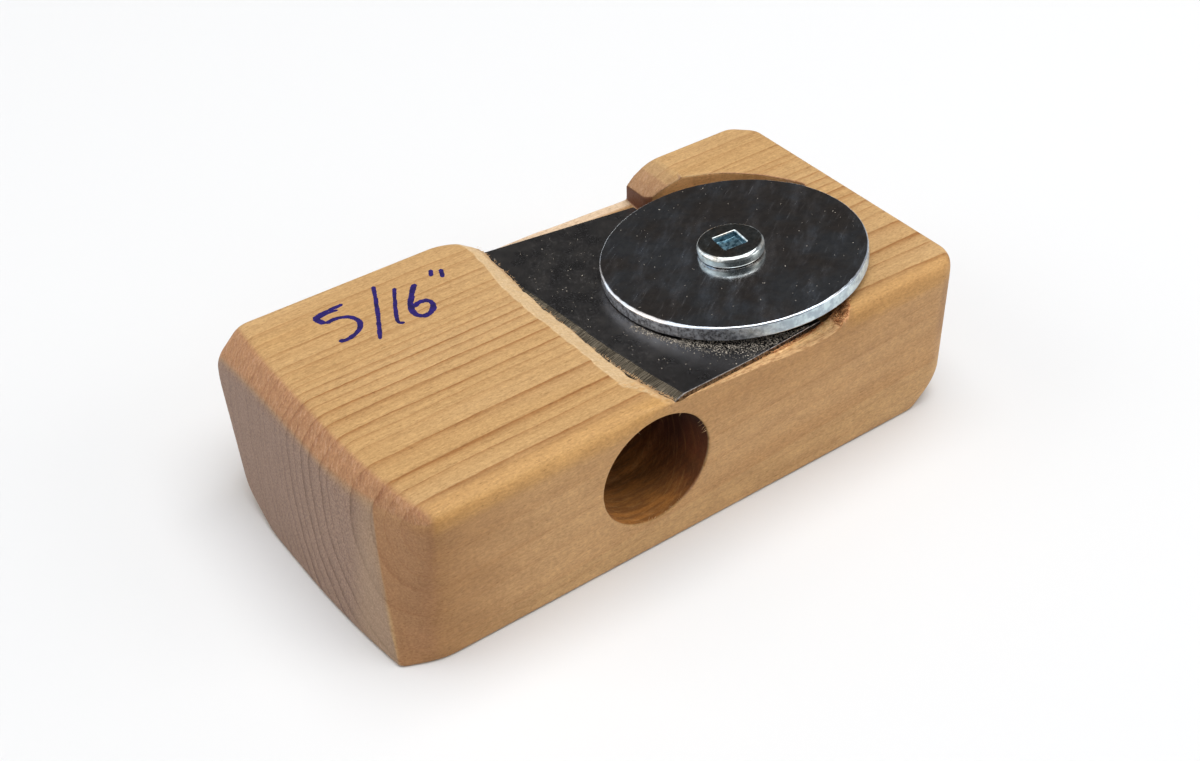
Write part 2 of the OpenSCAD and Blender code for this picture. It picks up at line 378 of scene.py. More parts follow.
def lathe(profile, n):
    """Rings of points (radius, height); a closed profile turned n times round."""
    ang = np.arange(n) * 2 * math.pi / n
    m = len(profile)
    r = np.array([q[0] for q in profile])[:, None] * np.ones(n)
    h = np.array([q[1] for q in profile])[:, None] * np.ones(n)
    faces = []
    for i in range(m):
        j = (i + 1) % m
        for s in range(n):
            t = (s + 1) % n
            faces.append((i * n + s, i * n + t, j * n + t, j * n + s))
    return r, h, ang[None, :] * np.ones((m, 1)), faces


def arc_pts(cx, cy, r, a0, a1, n):
    return [(cx + r * math.cos(math.radians(a0 + (a1 - a0) * i / n)), cy + r * math.sin(math.radians(a0 + (a1 - a0) * i / n))) for i in range(n + 1)]


def make_washer():
    t, ro, ri = 1.8, 15.86, 2.61
    prof = [(ri, 0.12), (ri + 0.05, 0.03), (ri + 0.14, 0.0)]
    prof += [(r, 0.0) for r in np.linspace(3.4, ro - 0.6, 10)]
    prof += arc_pts(ro - 0.2, 0.2, 0.2, -90, 0, 5)
    prof += [(ro, 0.45), (ro, 0.75), (ro, 1.12)]
    prof += [(ro - 0.60 + 0.60 * math.cos(a), t - 0.42 + 0.42 * math.sin(a)) for a in np.linspace(0, math.pi / 2, 13)]
    prof += [(ro - 0.72, t - 0.001), (ro - 0.90, t - 0.004)]
    prof += [(r, t - 0.01) for r in np.linspace(ro - 1.4, 3.6, 16)]
    prof += [(ri + 0.2, t - 0.02), (ri + 0.07, t - 0.06), (ri, t - 0.14), (ri, 1.2), (ri, 0.6)]
    n = 320
    r, h, a, faces = lathe(prof, n)
    cx, cy = np.cos(a), np.sin(a)
    # the rolled edge is widest on the left
    wide = smoothstep(-cx, 0.80, 0.97)
    roll = (r > ro - 0.95) & (h > t - 0.45)
    r = np.where(roll, ro - (ro - r) * (0.50 + 0.50 * wide), r)
    h = np.where(roll, t - (t - h) * (0.65 + 0.35 * wide), h)
    rim = smoothstep(r, 14.6, 15.4)
    r = r + rim * (0.03 * noise3(cx * 9, cy * 9, h * 0.4, 31) + 0.018 * noise3(cx * 34, cy * 34, h * 1.5, 32) - 0.03)
    low = noise3(cx * r * 0.16, cy * r * 0.16, 0 * r, 33) + 0.5 * noise3(cx * r * 0.45, cy * r * 0.45, 0 * r, 34)
    h = h + np.where(h > 1.0, -0.012 + 0.012 * low, 0.0) * smoothstep(r, 2.6, 3.6)
    h = h + rim * 0.02 * noise3(cx * 20, cy * 20, 0 * r, 35) * smoothstep(h, 0.9, 1.5)
    pts = seat(r * cx, r * cy, h).reshape(-1, 3)
    return mesh_object("washer_plate", pts, faces)


HEAD = [(0.0, 1.465), (2.4, 1.46), (3.2, 1.44), (3.55, 1.39), (3.76, 1.305), (3.91, 1.17), (3.99, 1.0), (4.02, 0.82), (4.02, 0.35), (3.95, 0.16), (3.84, 0.05), (1.9, 0.03), (1.46, -0.45), (0.0, -0.45)]


def screw_sdf(u, v, h):
    rad = np.hypot(u, v)
    k = h - 1.8
    head = poly_sdf(rad, k, HEAD) - 0.02
    turn = np.arctan2(v, u) / (2 * math.pi)
    f = (-(k + 0.9) / 1.69 + turn)
    f = np.abs(f - np.floor(f) - 0.5)
    core = 1.42 - 0.02 * np.minimum(k + 2, 0) * 0
    grow = smoothstep(-k, 1.0, 2.6) * (1 - smoothstep(-k, 14.4, 15.8))
    taper = 1 - smoothstep(-k, 12.2, 15.85)
    r = core * (0.06 + 0.94 * taper) + 0.64 * grow * np.clip(1 - f / 0.21, 0, 1) * (0.25 + 0.75 * taper)
    shank = np.maximum((rad - r) * 0.72, np.maximum(k - 0.3, -k - 15.85))
    d = smin(head, shank, 0.25)
    c, s = math.cos(math.radians(-10)), math.sin(math.radians(-10))
    a, b = u * c + v * s, -u * s + v * c
    half = 1.44 + 0.16 * np.clip((k - 1.27) / 0.2, 0, 1) - 0.10 * np.clip(1.27 - k, 0, 1.5)
    sq = smax(np.abs(a), np.abs(b), 0.2) - half
    floor = 0.45 + 0.16 * rad + 0.04 * noise3(u * 1.6, v * 1.6, 0 * u, 61)
    return smax(d, -np.maximum(sq, floor - k), 0.05)


def make_screw():
    k = 1.0
    us = steps((-4.3, -3.3, 0.09 * k), (-3.3, -2.2, 0.16 * k), (-2.2, 2.2, 0.085 * k), (2.2, 3.3, 0.16 * k), (3.3, 4.3, 0.09 * k))
    hs = steps((-14.3, 1.3, 0.12 * k), (1.3, 2.1, 0.09 * k), (2.1, 3.6, 0.06 * k))
    p, faces = vdb_mesh(screw_sdf, us, us, hs)
    pts = SCREW_O + p[:, :1] * SEAT_X + p[:, 1:2] * SEAT_Y + p[:, 2:] * SEAT_N
    return mesh_object("screw_body", pts, faces)


# ---------------------------------------------------------------- small loose detail


def blobs(name, places, sizes, normals=None):
    """Small irregular grains, each flat side down on what carries it."""
    verts, faces = [], []
    t = (1 + 5 ** 0.5) / 2
    ico = np.array([(-1, t, 0), (1, t, 0), (-1, -t, 0), (1, -t, 0), (0, -1, t), (0, 1, t), (0, -1, -t), (0, 1, -t), (t, 0, -1), (t, 0, 1), (-t, 0, -1), (-t, 0, 1)]) / math.hypot(1, t)
    tri = [(0, 11, 5), (0, 5, 1), (0, 1, 7), (0, 7, 10), (0, 10, 11), (1, 5, 9), (5, 11, 4), (11, 10, 2), (10, 7, 6), (7, 1, 8), (3, 9, 4), (3, 4, 2), (3, 2, 6), (3, 6, 8), (3, 8, 9), (4, 9, 5), (2, 4, 11), (6, 2, 10), (8, 6, 7), (9, 8, 1)]
    for c, s in zip(places, sizes):
        q = ico * (1 + 0.35 * rng.standard_normal((12, 1)).clip(-1.5, 1.5))
        a = rng.uniform(0, 2 * math.pi)
        sx, sy, sz = s * rng.uniform(0.5, 1.3), s * rng.uniform(0.4, 0.8), s * rng.uniform(0.25, 0.5)
        q = q * (sx, sy, sz)
        q = np.stack([q[:, 0] * math.cos(a) - q[:, 1] * math.sin(a), q[:, 0] * math.sin(a) + q[:, 1] * math.cos(a), q[:, 2]], 1)
        base = len(verts)
        verts.extend(np.asarray(c) + q + (0, 0, sz * 0.55))
        faces.extend([(i + base, j + base, k + base) for i, j, k in tri])
    verts = np.array(verts)
    verts[:, 2] = np.minimum(verts[:, 2], 22.93)
    return mesh_object(name, verts, faces)


def slivers(name, items):
    """Thin tapering fibres: each item is (points, width)."""
    verts, faces = [], []
    for pts, w in items:
        pts = np.asarray(pts, float)
        m = len(pts)
        base = len(verts)
        for i in range(m):
            tan = pts[min(i + 1, m - 1)] - pts[max(i - 1, 0)]
            tan /= np.linalg.norm(tan) + 1e-9
            up = np.array([0.3, -0.2, 1.0])
            s = np.cross(tan, up)
            s /= np.linalg.norm(s) + 1e-9
            n = np.cross(s, tan)
            r = w * (1 - (i / (m - 1)) ** 1.6) * 0.5 + 0.006
            for j in range(4):
                a = j * math.pi / 2
                verts.append(pts[i] + s * r * math.cos(a) + n * r * 0.45 * math.sin(a))
        for i in range(m - 1):
            for j in range(4):
                k = (j + 1) % 4
                faces.append((base + i * 4 + j, base + i * 4 + k, base + i * 4 + 4 + k, base + i * 4 + 4 + j))
        faces.append(tuple(base + j for j in (3, 2, 1, 0)))
        faces.append(tuple(base + (m - 1) * 4 + j for j in (0, 1, 2, 3)))
    verts = np.array(verts)
    verts[:, 1] = np.maximum(verts[:, 1], -20.29)
    return mesh_object(name, verts, faces)


def fibre(p, d, length, width, droop=0.3, m=5):
    d = np.asarray(d, float)
    d = d / np.linalg.norm(d)
    side = rng.standard_normal(3) * 0.25
    out = []
    for i in range(m):
        t = i / (m - 1)
        out.append(np.asarray(p, float) + d * length * t + side * length * t * t * 0.6 - np.array([0, 0, droop * length * t * t]))
    return out, width


def make_fibres():
    items = []
    # fuzz along the lip, most of it near the near end of the edge
    for _ in range(190):
        y = -20.0 + 15.5 * rng.beta(1.1, 2.0)
        x = float(np.interp(y, LIP_Y, LIP_X)) + rng.uniform(-0.12, 0.0)
        z = float(np.interp(y, LIP_Y, LIP_Z)) - rng.uniform(0.0, 0.12)
        items.append(fibre((x, y, z), (rng.uniform(0.3, 1), rng.uniform(-0.7, 0.7), rng.uniform(0.0, 0.6)), rng.uniform(0.15, 0.5), rng.uniform(0.03, 0.07)))
    for _ in range(60):
        y = rng.uniform(-4, 18)
        x = float(np.interp(y, LIP_Y, LIP_X)) - 0.03
        z = float(np.interp(y, LIP_Y, LIP_Z)) - rng.uniform(0.0, 0.1)
        items.append(fibre((x, y, z), (rng.uniform(0.3, 1), rng.uniform(-0.7, 0.7), rng.uniform(-0.1, 0.4)), rng.uniform(0.15, 0.4), rng.uniform(0.03, 0.07)))
    # fibres at the rim of the bore
    for a0, n in ((62, 2), (20, 3), (28, 2), (-60, 3), (-75, 4), (-100, 4), (120, 2)):
        for _ in range(n):
            a = math.radians(a0 + rng.normal(0, 5))
            p = (-5.8 + 7.12 * math.cos(a), -20.12, 11.4 + 7.12 * math.sin(a))
            items.append(fibre(p, (-math.cos(a) * rng.uniform(0.4, 1), rng.uniform(-0.12, 0.1), -math.sin(a) * rng.uniform(0.2, 1)), rng.uniform(0.2, 0.6), rng.uniform(0.04, 0.08), droop=0.1))
    return items


def make_torn():
    items = []
    # torn wood where the cut meets the near face beside the washer
    for _ in range(900):
        x, y = rng.uniform(20.2, 23.6), rng.uniform(-20.2, -16.4)
        plan = float(poly_sdf(np.float64(x), np.float64(y), RECESS))
        if plan > 0.05 or plan < -1.7:
            continue
        z = float(torn_floor(np.float64(x), np.float64(y), plan)) + rng.uniform(-0.05, 0.08)
        items.append(fibre((x, y, z), (rng.uniform(-1, 0.6), rng.uniform(-0.6, 0.8), rng.uniform(0.0, 0.6)), rng.uniform(0.2, 0.55), rng.uniform(0.08, 0.26)))
    for _ in range(320):
        x = rng.uniform(11.0, 19.3)
        y = near_edge_y(x) - rng.uniform(0.14, 0.48)
        z = float(bed(x, y)) + rng.uniform(0.0, 0.4) * (1 - (near_edge_y(x) - y) / 0.6)
        items.append(fibre((x, y, z), (rng.uniform(-1, 1), rng.uniform(-0.5, 0.2), rng.uniform(-0.1, 0.4)), rng.uniform(0.15, 0.4), rng.uniform(0.08, 0.2), droop=0.1))
    for _ in range(150):
        x = rng.uniform(5.5, 18.8)
        y = near_edge_y(x) - rng.uniform(0.02, 0.22)
        z = float(bed(x, y)) + rng.uniform(-0.03, 0.05)
        items.append(fibre((x, y, z), (rng.uniform(-1, 1), rng.uniform(-0.3, 0.3), rng.uniform(0.0, 0.5)), rng.uniform(0.2, 0.6), rng.uniform(0.04, 0.10)))
    return items


def make_dust():
    """Grains in front of the washer, and scattered ones on the blade and the washer."""
    pts, sizes = [], []
    for _ in range(1500):
        a = math.radians(rng.uniform(186, 262))
        rr = 15.95 + abs(rng.normal(0, 1.0)) * (0.5 + 0.9 * smoothstep(math.degrees(a), 200, 240))
        x, y = 18.43 + rr * math.cos(a), -3.51 + rr * math.sin(a)
        if x < -1.8 or x > 18.6 or y < near_edge_y(x) + 0.15:
            continue
        pts.append((x, y, float(blade_top(x, y))))
        sizes.append(rng.uniform(0.03, 0.085) * (1.6 if rng.random() < 0.05 else 1))
    # a low heap in the gap under the near rim of the washer
    for _ in range(1300):
        a, rr = math.radians(rng.uniform(208, 266)), rng.uniform(14.2, 16.05)
        x, y = 18.43 + rr * math.cos(a), -3.51 + rr * math.sin(a)
        if y < near_edge_y(x) + 0.15:
            continue
        gap = 19.35 + (0.0745 * (x - 18.43) - 0.0875 * (y + 3.51)) / 0.9934 - float(blade_top(x, y)) - 0.16
        pts.append((x, y, float(blade_top(x, y)) + rng.random() * max(0.0, min(0.22, gap)) * max(0.0, 1 - abs(rr - 15.1) / 0.95)))
        sizes.append(rng.uniform(0.05, 0.11))
    for _ in range(170):
        x, y = rng.uniform(-2, 9), rng.uniform(-19, 18)
        if math.hypot(x - 18.43, y + 3.51) < 16.1 or y < near_edge_y(x) + 0.2 or y > far_edge_y(x) - 0.2:
            continue
        pts.append((x, y, float(blade_top(x, y))))
        sizes.append(rng.uniform(0.03, 0.10))
    top, tsz = [], []
    for _ in range(130):
        r, a = 15.2 * math.sqrt(rng.random()), rng.uniform(0, 2 * math.pi)
        if r < 4.8:
            continue
        top.append(seat(np.float64(r * math.cos(a)), np.float64(r * math.sin(a)), np.float64(1.78)))
        tsz.append(rng.uniform(0.025, 0.075) * (1.7 if rng.random() < 0.06 else 1))
    return (pts, sizes), (top, tsz)


PEN = [
    ([(-27.2, 15.75), (-25.9, 16.15), (-24.5, 16.15), (-23.1, 16.3)], 0.55),
    ([(-27.25, 15.35), (-26.2, 15.65), (-25.0, 15.75), (-24.1, 15.6)], 0.42),
    ([(-27.0, 15.9), (-26.85, 14.9), (-26.42, 14.15)], 0.78),
    ([(-26.42, 14.1), (-25.5, 14.35), (-24.4, 14.15), (-23.35, 13.3), (-23.15, 12.2), (-23.7, 11.1), (-24.9, 10.3), (-26.1, 10.05), (-26.9, 10.4)], 0.62),
    ([(-18.57, 17.18), (-19.4, 15.3), (-20.5, 12.9), (-21.68, 10.48), (-23.03, 7.89)], 0.52),
    ([(-16.77, 15.41), (-17.6, 14.0), (-18.5, 12.3), (-20.02, 9.3), (-19.2, 8.95)], 0.48),
    ([(-14.47, 14.67), (-15.3, 13.8), (-16.3, 12.5), (-17.2, 11.1), (-17.6, 9.75), (-17.15, 8.75), (-16.1, 8.6), (-15.1, 9.4), (-14.75, 10.4), (-15.1, 11.15), (-16.0, 11.3), (-17.0, 10.8)], 0.72),
    ([(-11.5, 16.0), (-12.2, 14.75)], 0.55),
    ([(-10.5, 15.4), (-11.2, 13.75)], 0.55),
]


def make_pen():
    verts, faces = [], []
    for pts, w in PEN:
        pts = np.array(pts, float)
        # smooth the stroke through its points
        for _ in range(3):
            q = [pts[0]]
            for a, b in zip(pts[:-1], pts[1:]):
                q += [a * 0.75 + b * 0.25, a * 0.25 + b * 0.75]
            q.append(pts[-1])
            pts = np.array(q)
        s = np.concatenate([[0], np.cumsum(np.linalg.norm(np.diff(pts, axis=0), axis=1))])
        m = max(8, int(s[-1] / 0.09))
        c = np.stack([np.interp(np.linspace(0, s[-1], m), s, pts[:, i]) for i in range(2)], 1)
        tan = np.gradient(c, axis=0)
        tan /= np.linalg.norm(tan, axis=1, keepdims=True)
        nor = np.stack([-tan[:, 1], tan[:, 0]], 1)
        d = np.linspace(0, s[-1], m)
        end = np.minimum(1, np.sqrt(np.clip(np.minimum(d, s[-1] - d) / (w * 0.5), 0.03, 1)))
        base = len(verts)
        for side in (-1, 0, 1):
            rag = 1 + 0.16 * noise3(d * 2.2, 0 * d + side * 3.1, 0 * d, 41) + 0.14 * noise3(d * 7.0, 0 * d + side * 5.1, 0 * d, 42)
            off = nor * (side * w * 0.5 * rag * end)[:, None]
            verts.extend([(x, y, 20.1 + (0.022 if side == 0 else 0.004)) for x, y in c + off])
        for k in range(2):
            for i in range(m - 1):
                a = base + k * m + i
                faces.append((a, a + 1, a + m + 1, a + m))
    v = np.array(verts)
    ob = mesh_object("pen_mark", v, faces)
    bm = bmesh.new()
    bm.from_mesh(ob.data)
    bmesh.ops.recalc_face_normals(bm, faces=bm.faces[:])
    for f in bm.faces:
        if f.normal.z < 0:
            f.normal_flip()
    bm.to_mesh(ob.data)
    bm.free()
    return ob


# ---------------------------------------------------------------- materials


class Nodes:
    """Short names for building a material's nodes."""

    def __init__(self, name):
        self.mat = bpy.data.materials.new(name)
        self.mat.use_nodes = True
        self.t = self.mat.node_tree
        self.t.nodes.clear()
        self.out = self.add("ShaderNodeOutputMaterial")
        self.bsdf = self.add("ShaderNodeBsdfPrincipled")
        self.t.links.new(self.bsdf.outputs[0], self.out.inputs[0])
        tc = self.add("ShaderNodeTexCoord")
        sc = self.add("ShaderNodeVectorMath", operation="SCALE")
        self.t.links.new(tc.outputs["Object"], sc.inputs[0])
        sc.inputs["Scale"].default_value = 1000.0
        self.pos = sc.outputs[0]
        self.x, self.y, self.z = self.split(self.pos)
        self.nx, self.ny, self.nz = self.split(tc.outputs["Normal"])

    def add(self, kind, **props):
        n = self.t.nodes.new(kind)
        for k, v in props.items():
            setattr(n, k, v)
        return n

    def put(self, sock, v):
        if isinstance(v, bpy.types.NodeSocket):
            self.t.links.new(v, sock)
        elif v is not None:
            if hasattr(sock.default_value, "__len__") and not hasattr(v, "__len__"):
                v = (v,) * len(sock.default_value)
            if hasattr(v, "__len__") and len(sock.default_value) == 4 and len(v) == 3:
                v = tuple(v) + (1.0,)
            sock.default_value = v

    def split(self, v):
        n = self.add("ShaderNodeSeparateXYZ")
        self.put(n.inputs[0], v)
        return n.outputs[0], n.outputs[1], n.outputs[2]

    def join(self, x, y, z):
        n = self.add("ShaderNodeCombineXYZ")
        for i, v in enumerate((x, y, z)):
            self.put(n.inputs[i], v)
        return n.outputs[0]

    def m(self, op, a, b=None, c=None, clamp=False):
        n = self.add("ShaderNodeMath", operation=op, use_clamp=clamp)
        for i, v in enumerate((a, b, c)):
            if v is not None:
                self.put(n.inputs[i], v)
        return n.outputs[0]

    def v(self, op, a, b=None):
        n = self.add("ShaderNodeVectorMath", operation=op)
        self.put(n.inputs[0], a)
        if b is not None:
            self.put(n.inputs[1], b)
        return n.outputs[1 if op in ("LENGTH", "DISTANCE", "DOT_PRODUCT") else 0]

    def noise(self, vec, scale=1.0, detail=2.0, rough=0.5, dist=0.0, color=False):
        n = self.add("ShaderNodeTexNoise")
        self.put(n.inputs["Vector"], vec)
        self.put(n.inputs["Scale"], scale)
        self.put(n.inputs["Detail"], detail)
        self.put(n.inputs["Roughness"], rough)
        self.put(n.inputs["Distortion"], dist)
        return n.outputs["Color" if color else "Fac"]

    def step(self, v, a, b, lo=0.0, hi=1.0):
        n = self.add("ShaderNodeMapRange", interpolation_type="SMOOTHSTEP")
        for i, q in zip(("Value", "From Min", "From Max", "To Min", "To Max"), (v, a, b, lo, hi)):
            self.put(n.inputs[i], q)
        return n.outputs[0]

    def lin(self, v, a, b, lo=0.0, hi=1.0):
        n = self.add("ShaderNodeMapRange")
        for i, q in zip(("Value", "From Min", "From Max", "To Min", "To Max"), (v, a, b, lo, hi)):
            self.put(n.inputs[i], q)
        return n.outputs[0]

    def ramp(self, fac, stops, interp="LINEAR"):
        n = self.add("ShaderNodeValToRGB")
        cr = n.color_ramp
        cr.interpolation = interp
        while len(cr.elements) < len(stops):
            cr.elements.new(0.5)
        for e, (p, c) in zip(cr.elements, stops):
            e.position = p
            e.color = (c, c, c, 1) if not hasattr(c, "__len__") else tuple(c) + (1,)
        self.put(n.inputs[0], fac)
        return n.outputs[0]

    def mix(self, fac, a, b, mode="MIX"):
        n = self.add("ShaderNodeMix", data_type="RGBA", blend_type=mode)
        n.clamp_factor = True
        self.put(n.inputs[0], fac)
        self.put(n.inputs[6], a)
        self.put(n.inputs[7], b)
        return n.outputs[2]

    def bump(self, height, distance, strength=1.0, normal=None):
        n = self.add("ShaderNodeBump")
        self.put(n.inputs["Height"], height)
        n.inputs["Distance"].default_value = distance
        n.inputs["Strength"].default_value = strength
        if normal is not None:
            self.put(n.inputs["Normal"], normal)
        return n.outputs[0]

    def set(self, **kw):
        for k, v in kw.items():
            self.put(self.bsdf.inputs[k.replace("_", " ")], v)


def lin(r, g, b):
    return tuple(((c / 255.0 + 0.055) / 1.055) ** 2.4 if c > 10 else c / 255.0 / 12.92 for c in (r, g, b))


def tone_of(r, g, b, k):
    """A colour as it looks, turned into a reflectance by the light that falls on its face."""
    return tuple(c * k for c in lin(r, g, b))


RINGS = [0.0, 3.8, 6.1, 8.2, 11.6, 14.2, 15.7, 17.2, 19.5, 21.3, 22.8, 24.3, 25.8, 27.1, 28.0, 29.8, 30.9, 32.8, 33.7, 36.3, 38.1, 39.7, 41.5, 43.6, 46.0]


def wood_material(name="wood_visual"):
    n = Nodes(name)
    x, y, z = n.x, n.y, n.z
    # slow wander of the rings, long in the direction of the grain
    slow = n.noise(n.join(n.m("MULTIPLY", x, 0.02), n.m("MULTIPLY", y, 0.13), n.m("MULTIPLY", z, 0.13)), 1.0, 2.0)
    fine = n.noise(n.join(n.m("MULTIPLY", x, 0.12), n.m("MULTIPLY", y, 1.1), n.m("MULTIPLY", z, 1.1)), 1.0, 3.0)
    zc = n.m("MULTIPLY_ADD", x, 0.055, 20.0)
    dy = n.m("ADD", y, 21.0)
    dz = n.m("SUBTRACT", z, zc)
    r = n.m("SQRT", n.m("ADD", n.m("MULTIPLY", dy, dy), n.m("MULTIPLY", dz, dz)))
    r = n.m("ADD", r, n.m("MULTIPLY_ADD", slow, 1.4, -0.7))
    r = n.m("ADD", r, n.m("MULTIPLY_ADD", fine, 0.40, -0.20))
    jag = n.noise(n.join(n.m("MULTIPLY", x, 0.7), n.m("MULTIPLY", y, 4.0), n.m("MULTIPLY", z, 4.0)), 1.0, 2.0)
    r = n.m("ADD", r, n.m("MULTIPLY_ADD", jag, 0.22, -0.11))
    # ring number, whole at each dark line
    fc = n.add("ShaderNodeFloatCurve")
    cv = fc.mapping.curves[0]
    top = RINGS[-1]
    m = len(RINGS) - 1
    pts = [(q / top, i / m) for i, q in enumerate(RINGS)]
    cv.points[0].location, cv.points[1].location = pts[0], pts[-1]
    for q in pts[1:-1]:
        cv.points.new(*q)
    for q in cv.points:
        q.handle_type = "VECTOR"
    fc.mapping.update()
    n.put(fc.inputs["Value"], n.m("DIVIDE", r, top))
    num = n.m("MULTIPLY", fc.outputs[0], float(m))
    frac = n.m("FRACT", num)
    idx = n.m("FLOOR", num)
    wn = n.add("ShaderNodeTexWhiteNoise", noise_dimensions="1D")
    n.put(wn.inputs["W"], n.m("ADD", idx, 3.7))
    late = n.ramp(frac, [(0.0, 1.0), (0.02, 0.55), (0.05, 0.10), (0.12, 0.03), (0.45, 0.06), (0.66, 0.22), (0.82, 0.45), (0.92, 0.72), (0.965, 1.0), (1.0, 1.0)])
    amp = n.m("MULTIPLY_ADD", n.m("POWER", wn.outputs["Value"], 1.3), 1.25, 0.30)
    patch = n.noise(n.join(n.m("MULTIPLY", x, 0.16), n.m("MULTIPLY", y, 0.8), n.m("MULTIPLY", z, 0.8)), 1.0, 2.0, 0.6)
    amp = n.m("MULTIPLY", amp, n.m("MULTIPLY_ADD", patch, 1.3, 0.35))
    minor = n.noise(n.join(n.m("MULTIPLY", x, 0.03), n.m("MULTIPLY", r, 2.2), 0.0), 1.0, 3.0, 0.75)
    late = n.m("ADD", late, n.step(minor, 0.56, 0.80, 0.0, 0.45))
    # masks from the way the surface faces
    anx, any_ = n.m("ABSOLUTE", n.nx), n.m("ABSOLUTE", n.ny)
    facet = n.m("MULTIPLY", n.step(n.m("SUBTRACT", y, n.m("MULTIPLY_ADD", z, 0.31, -18.45)), 0.2, -0.2), n.step(x, -30.0, -33.0))
    end = n.m("MULTIPLY", n.step(anx, 0.80, 0.96), n.m("SUBTRACT", 1.0, facet))
    cham = n.m("MULTIPLY", n.m("MULTIPLY", n.step(n.nx, -0.30, -0.55), n.step(n.nz, 0.25, 0.5)), n.m("SUBTRACT", 1.0, end))
    facet = n.m("MULTIPLY", facet, n.step(n.nx, -0.15, -0.6))
    side = n.step(any_, 0.6, 0.95)
    strip = n.m("MULTIPLY", n.m("MULTIPLY", n.step(n.nx, 0.10, 0.26), n.step(x, -1.5, -2.5)), n.step(z, 17.0, 18.0))
    bore_d = n.m("SQRT", n.m("ADD", n.m("POWER", n.m("ADD", x, 5.8), 2.0), n.m("POWER", n.m("ADD", z, -11.4), 2.0)))
    bore = n.m("MULTIPLY", n.step(bore_d, 7.45, 7.2), n.step(y, -20.25, -19.9))
    bore = n.m("MULTIPLY", bore, n.m("SUBTRACT", 1.0, n.m("MULTIPLY", n.step(y, 17.5, 18.0), n.step(bore_d, 4.0, 4.25))))
    cuts = n.m("MULTIPLY", n.m("MULTIPLY", n.step(z, 20.02, 19.7), n.step(x, -4.6, -4.2)), n.m("MULTIPLY", n.step(y, -20.28, -20.1), n.step(z, 8.0, 12.0)))
    # streaks along the grain, and short dark pores
    streak = n.noise(n.join(n.m("MULTIPLY", x, 0.10), n.m("MULTIPLY", y, 3.2), n.m("MULTIPLY", z, 3.2)), 1.0, 4.0, 0.6)
    fleck = n.noise(n.join(n.m("MULTIPLY", x, 1.1), n.m("MULTIPLY", y, 5.5), n.m("MULTIPLY", z, 5.5)), 1.0, 3.0, 0.65)
    ripple = n.noise(n.join(n.m("MULTIPLY", x, 1.6), n.m("MULTIPLY", y, 0.45), n.m("MULTIPLY", z, 0.45)), 1.0, 2.0, 0.5)
    tone = n.noise(n.join(n.m("MULTIPLY", x, 0.018), n.m("MULTIPLY", y, 0.09), n.m("MULTIPLY", z, 0.09)), 1.0, 2.0, 0.5)
    contrast = n.m("MULTIPLY", n.m("SUBTRACT", 1.0, n.m("MULTIPLY", side, 0.72)), n.m("SUBTRACT", 1.0, n.m("MULTIPLY", strip, 0.75)))
    contrast = n.m("MULTIPLY", contrast, n.lin(y, -2.0, 16.0, 1.0, 0.42))
    d = n.m("MULTIPLY", n.m("MULTIPLY", late, amp), contrast)
    early = n.mix(n.step(tone, 0.3, 0.7), tone_of(214, 173, 120, 0.80), tone_of(208, 164, 107, 0.80))
    latec = tone_of(168, 115, 62, 0.80)
    col = n.mix(n.m("MULTIPLY", d, 0.85), early, latec)
    # side faces: pinker and greyer, with one lighter band low down
    sidec = n.mix(n.step(tone, 0.25, 0.75), tone_of(189, 148, 101, 1.16), tone_of(176, 132, 84, 1.16))
    sidec = n.mix(n.m("MULTIPLY", n.step(r, 15.9, 16.3), 0.4), sidec, tone_of(193, 157, 108, 1.16))
    sidec = n.mix(n.lin(x, -20.0, -34.0, 0.0, 0.85), sidec, tone_of(150, 104, 60, 1.08))
    col = n.mix(n.m("MULTIPLY", side, 0.85), col, n.mix(n.m("MULTIPLY", d, 0.9), sidec, tone_of(158, 112, 66, 1.16)))
    # chamfer and end grain
    near = n.m("MULTIPLY", n.lin(y, 8.0, 0.0, 0.36, 0.78), n.lin(r, 4.0, 8.0, 0.4, 1.0))
    col = n.mix(n.m("MULTIPLY", cham, 0.9), col, n.mix(n.m("MULTIPLY", d, 0.7), tone_of(171, 123, 85, 0.98), tone_of(142, 92, 58, 0.98)))
    nick = n.noise(n.join(n.m("MULTIPLY", n.m("SUBTRACT", y, n.m("MULTIPLY", z, 0.9)), 3.2), n.m("MULTIPLY", n.m("ADD", z, y), 0.8), n.m("MULTIPLY", x, 0.4)), 1.0, 3.0, 0.65)
    col = n.mix(n.m("MULTIPLY", n.step(nick, 0.50, 0.70), n.m("MULTIPLY", cham, 0.50)), col, tone_of(198, 156, 124, 0.98))
    col = n.mix(n.m("MULTIPLY", n.step(nick, 0.47, 0.28), n.m("MULTIPLY", cham, 0.50)), col, tone_of(134, 86, 62, 0.98))
    pores = n.noise(n.join(n.m("MULTIPLY", x, 2.0), n.m("MULTIPLY", y, 4.2), n.m("MULTIPLY", z, 4.2)), 1.0, 3.0, 0.7)
    endc = n.mix(n.m("MULTIPLY", n.m("MULTIPLY", late, amp), n.m("MULTIPLY", near, 0.95)), tone_of(157, 128, 108, 1.14), tone_of(102, 74, 56, 1.14))
    endc = n.mix(n.step(pores, 0.42, 0.62, 0.42, 0.0), endc, tone_of(96, 76, 66, 1.14))
    endc = n.mix(n.m("MULTIPLY", n.lin(y, -4.0, 6.0, 0.0, 1.0), 0.35), endc, tone_of(126, 102, 88, 1.14))
    endc = n.mix(n.m("MULTIPLY", n.step(y, -9.0, -13.5), 0.5), endc, tone_of(170, 142, 112, 1.14))
    col = n.mix(end, col, endc)
    stripc = n.mix(n.step(streak, 0.35, 0.65), tone_of(220, 191, 150, 1.0), tone_of(203, 171, 127, 1.0))
    stripc = n.mix(n.m("MULTIPLY", n.step(fleck, 0.46, 0.60), n.step(y, -12.5, -15.5, 0.0, 0.7)), stripc, tone_of(206, 152, 88, 0.92))
